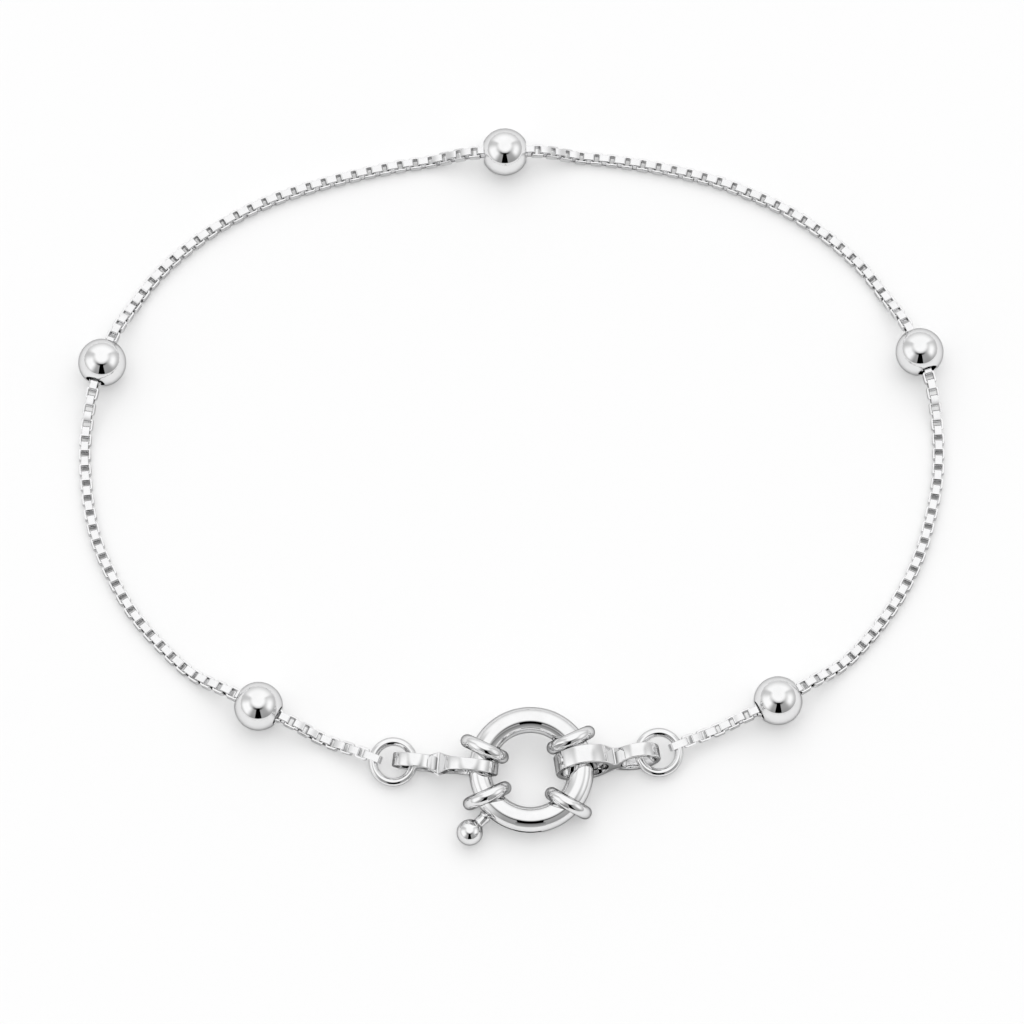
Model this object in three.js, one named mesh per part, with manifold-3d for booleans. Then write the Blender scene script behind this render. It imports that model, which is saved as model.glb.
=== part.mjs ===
// Station chain bracelet in polished silver, lying closed on a flat surface.
// A fine box chain runs in one loop through five drilled round beads. Each chain
// end is linked to a jump ring, each jump ring to a figure-eight connector, and
// both connectors hang on a large round spring ring clasp.
// Millimetres, +Z up, +Y away from the viewer, with the clasp at the near side.

import * as THREE from 'three';
import Module from 'manifold-3d';
import { mergeVertices } from 'three/addons/utils/BufferGeometryUtils.js';

// Closed loop in plan: width across the chain's middle line, and depth from the middle of
// the clasp to the chain's far side.
const LOOP_WIDTH = 70.8;
const LOOP_DEPTH = 54.8;

// Box chain: square links folded from flat strip, each turned a quarter from the last.
const CHAIN_WIDTH = 1.0;
const LINK_LENGTH = 1.0;
const STRIP_THICKNESS = 0.17;
const LINK_CLEARANCE = 0.03;
const CHAIN_MEETING_GAP = 0.08;

// The last link at each end of the chain is wider, so the jump ring's wire fits in it.
const END_LINK_THICKNESS = 0.19;
const END_LINK_CLEARANCE = 0.13;

// Round beads, drilled through for the chain.
const BEAD_DIAMETER = 4.0;
const BEAD_HOLE_CLEARANCE = 0.09;
const BEAD_SIDES = 12;
const BEAD_ARC_STEPS = 8;

// The chain comes down from a bead or a jump ring to the surface along a soft slope.
const BEAD_SLOPE_LENGTH = 5.0;
const END_SLOPE_LENGTH = 4.5;
const END_STRAIGHT_LENGTH = 0.9;

// Jump rings of round wire.
const JUMP_RING_DIAMETER = 4.0;
const JUMP_RING_WIRE = 0.7;
const JUMP_RING_TILT = 16;
const JUMP_RING_GAP = 0.2;

// Figure-eight connectors: a flat band bent into a large and a small eye.
const LARGE_EYE_DIAMETER = 4.75;
const LARGE_EYE_WALL = 0.45;
const SMALL_EYE_DIAMETER = 3.7;
const SMALL_EYE_WALL = 0.42;
const WAIST_LENGTH = 0.2;
const WAIST_HEIGHT = 1.3;
const WAIST_SPREAD = 38;
const EYE_CURVE_STEPS = 10;

// Spring ring clasp: a hollow ring with four soldered collars. Its opening is closed by a
// curved bow that slides back into the ring when its trigger is pushed along a slot.
const CLASP_DIAMETER = 10.3;
const BOW_DIAMETER = 1.8;
const BOW_CLEARANCE = 0.05;
const TUBE_WALL = 0.1;
const CLASP_TILT = 10;
const COLLAR_WIRE = 0.95;
const COLLAR_SOLDER_DEPTH = 0.06;
const BOW_TRAVEL = 50;
const BOW_SOCKET = 4;
const BOW_TAIL = 30;
const SPRING_CHAMBER = 24;
const TRIGGER_FROM_COLLAR = 15;
const TRIGGER_NECK_DIAMETER = 0.6;
const TRIGGER_POST_DIAMETER = 0.86;
const TRIGGER_BALL_DIAMETER = 2.16;
const TRIGGER_REACH = 7.1;
const SLOT_CLEARANCE = 0.05;
const TUBE_SIDES = 10;
const DEGREES_PER_STEP = 12;
const WIRE_SIDES = 6;
const COLLAR_STEPS = 12;
const JUMP_RING_STEPS = 14;

// Collars: place on the ring, and the small turns that hand soldering leaves, in degrees.
const COLLARS = [
  { at: 157, turn: 0, lean: 8 },
  { at: 35, turn: -13, lean: 8 },
  { at: -41.5, turn: 12, lean: 8 },
  { at: -149, turn: -7, lean: 8 },
];
const GAP_START_COLLAR = COLLARS[0];
const GAP_END_COLLAR = COLLARS[3];

// How each side hangs together: where its large eye crosses the ring, the heading of the
// connector in plan, how far the eye is pulled out as a share of its diameter, how far the
// band leans, and the same for the jump ring in the small eye and the chain end on it.
// The bands are filed by hand, so each has its own widths at its eyes and at its waist.
const SIDES = {
  left: {
    at: 177.7,
    heading: 174,
    pull: 0.189,
    roll: -12,
    ringHeading: 173.5,
    ringPull: 0.042,
    chainAt: 167,
    band: { largeEye: 1.0, waist: 1.85, smallEye: 1.1 },
  },
  right: {
    at: 8.5,
    heading: 9,
    pull: 0.057,
    roll: 0,
    ringHeading: 17,
    ringPull: 0.054,
    chainAt: 22,
    band: { largeEye: 1.5, waist: 1.5, smallEye: 1.15 },
  },
};

// Route of the chain in plan, from the left jump ring round to the right one, as shares
// of the loop's width and depth. A point with a bead is the middle of that bead.
const CLASP_PLACE = { x: 0.0226, y: -0.4617 };
const CHAIN_ROUTE = [
  { x: -0.2175, y: -0.4051 },
  { x: -0.2910, y: -0.3604, bead: 'bead_1' },
  { x: -0.3658, y: -0.3047 },
  { x: -0.4025, y: -0.2609 },
  { x: -0.4393, y: -0.2044 },
  { x: -0.4661, y: -0.1423 },
  { x: -0.4859, y: -0.0785 },
  { x: -0.4972, y: 0.0036 },
  { x: -0.4986, y: 0.0821 },
  { x: -0.4809, y: 0.1889, bead: 'bead_2' },
  { x: -0.4463, y: 0.2901 },
  { x: -0.4153, y: 0.3467 },
  { x: -0.3771, y: 0.3942 },
  { x: -0.3362, y: 0.4325 },
  { x: -0.2910, y: 0.4635 },
  { x: -0.2444, y: 0.4863 },
  { x: -0.1723, y: 0.5128 },
  { x: -0.0960, y: 0.5310 },
  { x: -0.0071, y: 0.5365, bead: 'bead_3' },
  { x: 0.0763, y: 0.5383 },
  { x: 0.1568, y: 0.5255 },
  { x: 0.2359, y: 0.5018 },
  { x: 0.2839, y: 0.4781 },
  { x: 0.3263, y: 0.4507 },
  { x: 0.3658, y: 0.4161 },
  { x: 0.3997, y: 0.3777 },
  { x: 0.4308, y: 0.3303 },
  { x: 0.4816, y: 0.2062, bead: 'bead_4' },
  { x: 0.5000, y: 0.1077 },
  { x: 0.5000, y: 0.0146 },
  { x: 0.4901, y: -0.0529 },
  { x: 0.4746, y: -0.1186 },
  { x: 0.4492, y: -0.1843 },
  { x: 0.4167, y: -0.2427 },
  { x: 0.3842, y: -0.2865 },
  { x: 0.3086, y: -0.3522, bead: 'bead_5' },
  { x: 0.2486, y: -0.3869 },
];
const MIDDLE_BEAD = 'bead_3';
const ROUTE_SAMPLES = 60;
const TANGENT_SAMPLES = 5;

const STRIP_WIDTH = CHAIN_WIDTH - 2 * (STRIP_THICKNESS + LINK_CLEARANCE);
const LINK_PITCH = LINK_LENGTH - 2 * STRIP_THICKNESS;
const BEAD_HOLE_DIAMETER = CHAIN_WIDTH * Math.SQRT2 + 2 * BEAD_HOLE_CLEARANCE;
const WIRE_RADIUS = JUMP_RING_WIRE / 2;
const JUMP_RING_RADIUS = JUMP_RING_DIAMETER / 2 - WIRE_RADIUS;
const END_LINK_REACH = WIRE_RADIUS + END_LINK_CLEARANCE;
const BOW_RADIUS = BOW_DIAMETER / 2;
const BORE_RADIUS = BOW_RADIUS + BOW_CLEARANCE;
const TUBE_RADIUS = BORE_RADIUS + TUBE_WALL;
const CLASP_RADIUS = CLASP_DIAMETER / 2 - TUBE_RADIUS;

const wasm = await Module();
wasm.setup();

const degrees = THREE.MathUtils.degToRad;
const UP = new THREE.Vector3(0, 0, 1);
const JUMP_RING_TURN = new THREE.Quaternion().setFromAxisAngle(
  new THREE.Vector3(1, 0, 0),
  degrees(JUMP_RING_TILT),
);
const JUMP_RING_NORMAL = UP.clone().applyQuaternion(JUMP_RING_TURN);

function planPoint({ x, y }) {
  return new THREE.Vector3(x, y, 0);
}

function loopPoint({ x, y }) {
  return new THREE.Vector3(x * LOOP_WIDTH, y * LOOP_DEPTH, 0);
}

function heading(angle) {
  return new THREE.Vector3(Math.cos(degrees(angle)), Math.sin(degrees(angle)), 0);
}

function silver(color, roughness) {
  return new THREE.MeshStandardMaterial({ color, roughness, metalness: 1 });
}

function namedMesh(name, geometry, material) {
  const mesh = new THREE.Mesh(geometry, material);
  mesh.name = name;
  return mesh;
}

function toSolid(geometry) {
  const bare = geometry.index ? geometry.clone() : geometry.clone().toNonIndexed();
  bare.deleteAttribute('normal');
  bare.deleteAttribute('uv');
  const merged = mergeVertices(bare, 1e-5);
  return new wasm.Manifold(new wasm.Mesh({
    numProp: 3,
    vertProperties: new Float32Array(merged.attributes.position.array),
    triVerts: new Uint32Array(merged.index.array),
  }));
}

function toGeometry(solid) {
  const mesh = solid.getMesh();
  const geometry = new THREE.BufferGeometry();
  geometry.setAttribute('position', new THREE.BufferAttribute(new Float32Array(mesh.vertProperties), 3));
  geometry.setIndex(new THREE.BufferAttribute(new Uint32Array(mesh.triVerts), 1));
  geometry.computeVertexNormals();
  return geometry;
}

// Raises or lowers a placed object until its lowest point touches the surface.
function layOnSurface(object) {
  object.updateMatrixWorld(true);
  object.position.z -= new THREE.Box3().setFromObject(object, true).min.z;
  object.updateMatrixWorld(true);
}

// Closed ring-shaped sweep of a flat section through part of a circle about Z.
// The section's points are [outward, upward] from the circle, in order against the clock.
function sweepArc(section, radius, from, to) {
  const steps = Math.max(1, Math.round(Math.abs(to - from) / DEGREES_PER_STEP));
  const positions = [];
  const index = [];
  for (let step = 0; step <= steps; step += 1) {
    const angle = degrees(from + (to - from) * step / steps);
    for (const [outward, upward] of section) {
      positions.push((radius + outward) * Math.cos(angle), (radius + outward) * Math.sin(angle), upward);
    }
  }
  const count = section.length;
  for (let step = 0; step < steps; step += 1) {
    for (let side = 0; side < count; side += 1) {
      const a = step * count + side;
      const b = step * count + (side + 1) % count;
      index.push(a, b + count, b, a, a + count, b + count);
    }
  }
  const last = steps * count;
  for (let side = 1; side < count - 1; side += 1) {
    index.push(0, side, side + 1);
    index.push(last, last + side + 1, last + side);
  }
  const geometry = new THREE.BufferGeometry();
  geometry.setAttribute('position', new THREE.Float32BufferAttribute(positions, 3));
  geometry.setIndex(index);
  return geometry;
}

function circleSection(radius) {
  const section = [];
  for (let side = 0; side < TUBE_SIDES; side += 1) {
    const angle = 2 * Math.PI * side / TUBE_SIDES;
    section.push([radius * Math.cos(angle), radius * Math.sin(angle)]);
  }
  return section;
}

function boxSection(inner, outer, height) {
  return [[inner, -height / 2], [outer, -height / 2], [outer, height / 2], [inner, height / 2]];
}

// Soldered collar: a wire ring round the tube, at its place on the clasp.
function collarGeometry({ at, turn, lean }) {
  const wireRadius = COLLAR_WIRE / 2;
  const radius = TUBE_RADIUS + wireRadius - COLLAR_SOLDER_DEPTH;
  const geometry = new THREE.TorusGeometry(radius, wireRadius, WIRE_SIDES, COLLAR_STEPS);
  geometry.rotateX(Math.PI / 2);
  geometry.rotateZ(degrees(at + turn));
  geometry.rotateX(degrees(lean));
  geometry.translate(CLASP_RADIUS * Math.cos(degrees(at)), CLASP_RADIUS * Math.sin(degrees(at)), 0);
  return geometry;
}

const TRIGGER_ANGLE = GAP_END_COLLAR.at + TRIGGER_FROM_COLLAR;
const NECK_HALF_ANGLE = THREE.MathUtils.radToDeg(
  (TRIGGER_NECK_DIAMETER / 2 + SLOT_CLEARANCE) / (CLASP_RADIUS + BOW_RADIUS),
);

// Hollow ring from the end of the gap round to its start, slotted for the trigger.
function claspBodyGeometry() {
  const from = GAP_END_COLLAR.at;
  const to = GAP_START_COLLAR.at;
  const slot = TRIGGER_NECK_DIAMETER + 2 * SLOT_CLEARANCE;
  const boreEnd = TRIGGER_ANGLE + BOW_TAIL + BOW_TRAVEL + SPRING_CHAMBER;
  const slotEnd = TRIGGER_ANGLE + BOW_TRAVEL + NECK_HALF_ANGLE;
  const bore = sweepArc(circleSection(BORE_RADIUS), CLASP_RADIUS, from - BOW_SOCKET, boreEnd);
  const socket = sweepArc(circleSection(BORE_RADIUS), CLASP_RADIUS, to - 2 * BOW_SOCKET, to + BOW_SOCKET);
  const slotBox = boxSection(BORE_RADIUS / 2, TUBE_RADIUS + TUBE_WALL, slot);
  const slotCut = sweepArc(slotBox, CLASP_RADIUS, TRIGGER_ANGLE - NECK_HALF_ANGLE, slotEnd);
  let solid = toSolid(sweepArc(circleSection(TUBE_RADIUS), CLASP_RADIUS, from, to));
  for (const collar of COLLARS) {
    solid = solid.add(toSolid(collarGeometry(collar)));
  }
  return toGeometry(solid.subtract(toSolid(bore)).subtract(toSolid(socket)).subtract(toSolid(slotCut)));
}

// A round bar standing out from the ring at the trigger's angle.
function radialBar(diameter, from, to) {
  const bar = new THREE.CylinderGeometry(diameter / 2, diameter / 2, to - from, TUBE_SIDES);
  bar.rotateZ(-Math.PI / 2);
  bar.translate((from + to) / 2, 0, 0);
  bar.rotateZ(degrees(TRIGGER_ANGLE));
  return bar;
}

// Curved bow with its trigger: neck in the slot, thicker post outside it, and a ball.
function claspBowGeometry() {
  const tip = GAP_START_COLLAR.at - BOW_SOCKET;
  const tail = TRIGGER_ANGLE + BOW_TAIL + 360;
  const outside = CLASP_RADIUS + TUBE_RADIUS + BOW_CLEARANCE;
  const ball = new THREE.SphereGeometry(TRIGGER_BALL_DIAMETER / 2, BEAD_SIDES, BEAD_ARC_STEPS);
  ball.translate(TRIGGER_REACH, 0, 0);
  ball.rotateZ(degrees(TRIGGER_ANGLE));
  return toGeometry(
    toSolid(sweepArc(circleSection(BOW_RADIUS), CLASP_RADIUS, tip, tail))
      .add(toSolid(radialBar(TRIGGER_NECK_DIAMETER, CLASP_RADIUS, outside + TUBE_WALL)))
      .add(toSolid(radialBar(TRIGGER_POST_DIAMETER, outside, TRIGGER_REACH)))
      .add(toSolid(ball)),
  );
}

// Figure-eight connector, standing on its edge. The large eye's middle is at x = 0 and the
// small eye lies towards +X. Both eyes stand on z = 0, and their holes run along Y.
const LARGE_EYE_RADIUS = LARGE_EYE_DIAMETER / 2;
const SMALL_EYE_RADIUS = SMALL_EYE_DIAMETER / 2;
const EYE_SPACING = LARGE_EYE_RADIUS + WAIST_LENGTH + SMALL_EYE_RADIUS;

function connectorGeometry(band) {
  const waistX = LARGE_EYE_RADIUS + WAIST_LENGTH / 2;
  const waistZ = (LARGE_EYE_RADIUS + SMALL_EYE_RADIUS) / 2;
  const mouth = degrees(WAIST_SPREAD);
  const outline = new THREE.Shape();
  outline.absarc(0, LARGE_EYE_RADIUS, LARGE_EYE_RADIUS, mouth, 2 * Math.PI - mouth, false);
  outline.lineTo(waistX, waistZ - WAIST_HEIGHT / 2);
  outline.absarc(EYE_SPACING, SMALL_EYE_RADIUS, SMALL_EYE_RADIUS, Math.PI + mouth, 3 * Math.PI - mouth, false);
  outline.lineTo(waistX, waistZ + WAIST_HEIGHT / 2);
  const largeHole = new THREE.Path();
  largeHole.absarc(0, LARGE_EYE_RADIUS, LARGE_EYE_RADIUS - LARGE_EYE_WALL, 0, 2 * Math.PI, true);
  const smallHole = new THREE.Path();
  smallHole.absarc(EYE_SPACING, SMALL_EYE_RADIUS, SMALL_EYE_RADIUS - SMALL_EYE_WALL, 0, 2 * Math.PI, true);
  outline.holes.push(largeHole, smallHole);
  const flat = { depth: 1, bevelEnabled: false, curveSegments: EYE_CURVE_STEPS };
  const geometry = new THREE.ExtrudeGeometry(outline, flat);
  geometry.translate(0, 0, -flat.depth / 2);
  geometry.rotateX(Math.PI / 2);
  const position = geometry.attributes.position;
  for (let i = 0; i < position.count; i += 1) {
    const beyond = position.getX(i) - waistX;
    let width = beyond < 0 ? band.largeEye : band.smallEye;
    if (Math.abs(beyond) < WAIST_LENGTH / 2) {
      width = band.waist;
    }
    position.setY(i, position.getY(i) * width);
  }
  return geometry;
}

function beadGeometry() {
  const radius = BEAD_DIAMETER / 2;
  const rim = Math.asin(BEAD_HOLE_DIAMETER / BEAD_DIAMETER);
  const profile = [];
  for (let step = 0; step <= BEAD_ARC_STEPS; step += 1) {
    const angle = Math.PI - rim - (Math.PI - 2 * rim) * step / BEAD_ARC_STEPS;
    profile.push(new THREE.Vector2(radius * Math.sin(angle), radius * Math.cos(angle)));
  }
  profile.push(profile[0].clone());
  return new THREE.LatheGeometry(profile, BEAD_SIDES);
}

const CLASP_SILVER = silver(0xdfe0e2, 0.08);
const claspGroup = new THREE.Group();
claspGroup.add(namedMesh('clasp_body', claspBodyGeometry(), CLASP_SILVER.clone()));
claspGroup.add(namedMesh('clasp_bow', claspBowGeometry(), CLASP_SILVER.clone()));
claspGroup.position.copy(loopPoint(CLASP_PLACE));
claspGroup.rotation.x = degrees(CLASP_TILT);
layOnSurface(claspGroup);

// Connector with its large eye round the clasp and its jump ring in the small eye.
// Returns the point of the jump ring's wire that the chain end is linked to.
function hangSide(group, side) {
  const { at, heading: direction, pull, roll, ringHeading, ringPull, chainAt, band } = SIDES[side];
  const connector = namedMesh(`connector_${side}`, connectorGeometry(band), silver(0xdcdde0, 0.1));
  const eye = heading(at).multiplyScalar(CLASP_RADIUS).applyMatrix4(claspGroup.matrixWorld);
  eye.addScaledVector(heading(direction), pull * LARGE_EYE_DIAMETER);
  const lean = new THREE.Quaternion().setFromAxisAngle(new THREE.Vector3(1, 0, 0), degrees(roll));
  connector.quaternion.setFromAxisAngle(UP, degrees(direction)).multiply(lean);
  const middle = new THREE.Vector3(0, 0, LARGE_EYE_RADIUS).applyQuaternion(connector.quaternion);
  connector.position.set(eye.x - middle.x, eye.y - middle.y, 0);
  layOnSurface(connector);
  group.add(connector);

  const hole = connector.localToWorld(new THREE.Vector3(EYE_SPACING, 0, SMALL_EYE_RADIUS));
  const slant = band.smallEye / 2 * Math.sin(degrees(JUMP_RING_TILT));
  const room = SMALL_EYE_RADIUS - SMALL_EYE_WALL - WIRE_RADIUS - JUMP_RING_GAP - slant;
  const outward = ringPull * SMALL_EYE_DIAMETER;
  const wireInEye = hole.clone().addScaledVector(heading(direction), outward);
  wireInEye.z -= Math.sqrt(room * room - outward * outward) * Math.cos(degrees(roll));
  const ring = namedMesh(
    `jump_ring_${side}`,
    new THREE.TorusGeometry(JUMP_RING_RADIUS, WIRE_RADIUS, WIRE_SIDES, JUMP_RING_STEPS),
    silver(0xdadbde, 0.1),
  );
  ring.quaternion.copy(JUMP_RING_TURN);
  const inward = heading(ringHeading + 180).multiplyScalar(JUMP_RING_RADIUS).applyQuaternion(JUMP_RING_TURN);
  ring.position.copy(wireInEye).sub(inward);
  ring.updateMatrixWorld(true);
  group.add(ring);
  return ring.localToWorld(heading(chainAt).multiplyScalar(JUMP_RING_RADIUS));
}

// Share of its height that the chain still has at a distance from what lifts it.
function slopeShare(distance, straight, length) {
  const along = THREE.MathUtils.clamp((distance - straight) / length, 0, 1);
  return (1 + Math.cos(Math.PI * along)) / 2;
}

// Line of the chain in space, as a run of close points with the length up to each.
function chainLine(start, end) {
  const points = [planPoint(start), ...CHAIN_ROUTE.map(loopPoint), planPoint(end)];
  const curve = new THREE.CatmullRomCurve3(points, false, 'centripetal');
  const samples = curve.getPoints(ROUTE_SAMPLES * points.length);
  const planLength = [0];
  for (let i = 1; i < samples.length; i += 1) {
    planLength.push(planLength[i - 1] + samples[i].distanceTo(samples[i - 1]));
  }
  const total = planLength[planLength.length - 1];
  const beads = CHAIN_ROUTE.filter((point) => point.bead).map((point) => {
    const target = loopPoint(point);
    let nearest = 0;
    samples.forEach((sample, i) => {
      if (sample.distanceTo(target) < samples[nearest].distanceTo(target)) {
        nearest = i;
      }
    });
    return { name: point.bead, sample: nearest };
  });
  const rest = CHAIN_WIDTH / 2;
  samples.forEach((sample, i) => {
    const along = planLength[i];
    sample.z = rest;
    sample.z += (start.z - rest) * slopeShare(along, END_STRAIGHT_LENGTH, END_SLOPE_LENGTH);
    sample.z += (end.z - rest) * slopeShare(total - along, END_STRAIGHT_LENGTH, END_SLOPE_LENGTH);
    for (const bead of beads) {
      const share = slopeShare(Math.abs(along - planLength[bead.sample]), BEAD_DIAMETER / 2, BEAD_SLOPE_LENGTH);
      sample.z += (BEAD_DIAMETER / 2 - rest) * share;
    }
  });
  const length = [0];
  for (let i = 1; i < samples.length; i += 1) {
    length.push(length[i - 1] + samples[i].distanceTo(samples[i - 1]));
  }
  return { samples, length, beads };
}

// Point and square frame of the chain at a length along its line. Past the ends it runs
// straight, and towards them it twists until the end links stand square on the jump rings.
function frameAt({ samples, length }, along) {
  let i = 1;
  while (i < samples.length - 1 && length[i] < along) {
    i += 1;
  }
  const between = (along - length[i - 1]) / (length[i] - length[i - 1]);
  const point = samples[i - 1].clone().lerp(samples[i], between);
  const before = samples[Math.max(0, i - 1 - TANGENT_SAMPLES)];
  const after = samples[Math.min(samples.length - 1, i + TANGENT_SAMPLES)];
  const forward = after.clone().sub(before).normalize();
  const total = length[length.length - 1];
  const share = slopeShare(Math.min(along, total - along), END_STRAIGHT_LENGTH, END_SLOPE_LENGTH);
  const left = UP.clone().lerp(JUMP_RING_NORMAL, share).cross(forward).normalize();
  return { point, forward, left, up: forward.clone().cross(left) };
}

// One run of joined box links between a list of junction frames, as one closed body.
// At each inner junction the two links share a square patch as wide as the strip.
// Upright links stand in the plane of forward and up, the others lie across them.
function boxChainGeometry(junctions, uprightFirst, endLink) {
  const positions = [];
  const index = [];
  const half = STRIP_WIDTH / 2;
  const signs = [1, -1];

  function addPoint({ point, forward, left, up }, along, toLeft, toUp) {
    const place = point.clone().addScaledVector(forward, along);
    place.addScaledVector(left, toLeft).addScaledVector(up, toUp);
    positions.push(place.x, place.y, place.z);
    return positions.length / 3 - 1;
  }

  function addFace(...corners) {
    for (let i = 1; i < corners.length - 1; i += 1) {
      index.push(corners[0], corners[i], corners[i + 1]);
    }
  }

  const patches = junctions.map((frame) => (
    signs.map((toLeft) => signs.map((toUp) => addPoint(frame, 0, toLeft * half, toUp * half)))
  ));

  for (let link = 0; link < junctions.length - 1; link += 1) {
    const upright = (link % 2 === 0) === uprightFirst;
    const isEndLink = (link === 0 && endLink === 'first') || (link === junctions.length - 2 && endLink === 'last');
    const thickness = isEndLink ? END_LINK_THICKNESS : STRIP_THICKNESS;
    const inner = isEndLink ? WIRE_RADIUS + END_LINK_CLEARANCE : CHAIN_WIDTH / 2 - STRIP_THICKNESS;
    const outer = inner + thickness;
    // Corner at one end of the link: a is across its loop, b along its strip's width.
    const corner = (end, along, a, b) => {
      const frame = junctions[link + end];
      return upright ? addPoint(frame, along, -b, a) : addPoint(frame, along, a, b);
    };
    const patch = (end, a, b) => {
      const toLeft = upright ? -b : a;
      const toUp = upright ? a : b;
      return patches[link + end][toLeft > 0 ? 0 : 1][toUp > 0 ? 0 : 1];
    };
    const faces = signs.map((b) => ({
      outer: [0, 1].map((end) => signs.map((a) => corner(end, end ? thickness : -thickness, a * outer, b * half))),
      inner: [0, 1].map((end) => signs.map((a) => corner(end, 0, a * inner, b * half))),
      patch: [0, 1].map((end) => signs.map((a) => patch(end, a, b))),
    }));
    const [front, back] = faces;
    faces.forEach((face, i) => {
      const [[startTop, startBottom], [endTop, endBottom]] = face.outer;
      const [[innerStartTop, innerStartBottom], [innerEndTop, innerEndBottom]] = face.inner;
      const [[patchStartTop, patchStartBottom], [patchEndTop, patchEndBottom]] = face.patch;
      const polygons = [
        [startTop, innerStartTop, innerEndTop, endTop],
        [startBottom, endBottom, innerEndBottom, innerStartBottom],
        [endTop, innerEndTop, patchEndTop],
        [endTop, patchEndTop, patchEndBottom, endBottom],
        [endBottom, patchEndBottom, innerEndBottom],
        [startBottom, innerStartBottom, patchStartBottom],
        [startBottom, patchStartBottom, patchStartTop, startTop],
        [startTop, patchStartTop, innerStartTop],
      ];
      for (const polygon of polygons) {
        addFace(...(i === 0 ? polygon : polygon.reverse()));
      }
    });
    const strip = (from, to) => addFace(from[0], to[0], to[1], from[1]);
    const pair = (kind, end, a) => [front[kind][end][a], back[kind][end][a]];
    strip(pair('outer', 0, 0), pair('outer', 1, 0));
    strip(pair('outer', 1, 0), pair('outer', 1, 1));
    strip(pair('outer', 1, 1), pair('outer', 0, 1));
    strip(pair('outer', 0, 1), pair('outer', 0, 0));
    strip(pair('inner', 1, 0), pair('inner', 0, 0));
    strip(pair('inner', 0, 1), pair('inner', 1, 1));
    strip(pair('inner', 0, 0), pair('patch', 0, 0));
    strip(pair('patch', 0, 1), pair('inner', 0, 1));
    strip(pair('patch', 1, 0), pair('inner', 1, 0));
    strip(pair('inner', 1, 1), pair('patch', 1, 1));
    if (link === 0) {
      strip(pair('patch', 0, 0), pair('patch', 0, 1));
    }
    if (link === junctions.length - 2) {
      strip(pair('patch', 1, 1), pair('patch', 1, 0));
    }
  }
  const geometry = new THREE.BufferGeometry();
  geometry.setAttribute('position', new THREE.Float32BufferAttribute(positions, 3));
  geometry.setIndex(index);
  geometry.computeVertexNormals();
  return geometry;
}

const bracelet = new THREE.Group();
bracelet.add(claspGroup);
const chainStart = hangSide(bracelet, 'left');
const chainEnd = hangSide(bracelet, 'right');
const line = chainLine(chainStart, chainEnd);
const lineLength = line.length[line.length.length - 1];

// Junctions between links. The end links are longer, and an odd number of links lies
// between them, so that both end links stand upright on the jump rings.
const endInner = END_LINK_REACH + STRIP_THICKNESS;
const plainLength = lineLength - 2 * endInner;
const plainLinks = 2 * Math.round((plainLength / LINK_PITCH - 1) / 2) + 1;
const places = [-END_LINK_REACH];
for (let i = 0; i <= plainLinks; i += 1) {
  places.push(endInner + plainLength * i / plainLinks);
}
places.push(lineLength + END_LINK_REACH);

const middleBead = line.beads.find((bead) => bead.name === MIDDLE_BEAD);
const middlePlace = line.length[middleBead.sample];
const split = places.findIndex((place) => place >= middlePlace);

function framesBetween(first, last, shifts) {
  const frames = [];
  for (let i = first; i <= last; i += 1) {
    const shift = (i === first ? shifts[0] : 0) + (i === last ? shifts[1] : 0);
    frames.push(frameAt(line, places[i] + shift));
  }
  return frames;
}

// The two runs of chain are linked with each other inside the middle bead.
const leftFrames = framesBetween(0, split, [0, CHAIN_MEETING_GAP / 2]);
const rightFrames = framesBetween(split, places.length - 1, [-CHAIN_MEETING_GAP / 2, 0]);
const CHAIN_SILVER = silver(0xd6d8db, 0.18);
bracelet.add(namedMesh('chain_left', boxChainGeometry(leftFrames, true, 'first'), CHAIN_SILVER.clone()));
bracelet.add(namedMesh(
  'chain_right',
  boxChainGeometry(rightFrames, split % 2 === 0, 'last'),
  CHAIN_SILVER.clone(),
));

// Each bead is threaded on the chain and lies along the chord of the chain through it.
for (const { name, sample } of line.beads) {
  const half = BEAD_DIAMETER / 2;
  const before = frameAt(line, line.length[sample] - half).point;
  const after = frameAt(line, line.length[sample] + half).point;
  const middle = before.clone().add(after).multiplyScalar(0.25);
  middle.addScaledVector(line.samples[sample], 0.5);
  const bead = namedMesh(name, beadGeometry(), silver(0xe2e3e5, 0.06));
  const forward = after.sub(before).normalize();
  const axes = new THREE.Matrix4().makeBasis(forward.clone().cross(UP), forward, UP);
  bead.quaternion.setFromRotationMatrix(axes);
  bead.position.copy(middle);
  bracelet.add(bead);
}

// The origin is on the surface, under the middle of the whole bracelet in plan.
bracelet.updateMatrixWorld(true);
const box = new THREE.Box3().setFromObject(bracelet, true);
bracelet.position.set(-(box.min.x + box.max.x) / 2, -(box.min.y + box.max.y) / 2, -box.min.z);

export default bracelet;
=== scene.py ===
# Station chain bracelet in polished silver, closed and laid on a pale surface: a fine box
# chain through five round beads, a jump ring on each end, two figure-eight connectors and
# a round spring ring clasp. Sizes are in millimetres, and the pieces are made in metres.

import math
import random

import bpy
import numpy as np
from mathutils import Matrix, Vector


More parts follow.
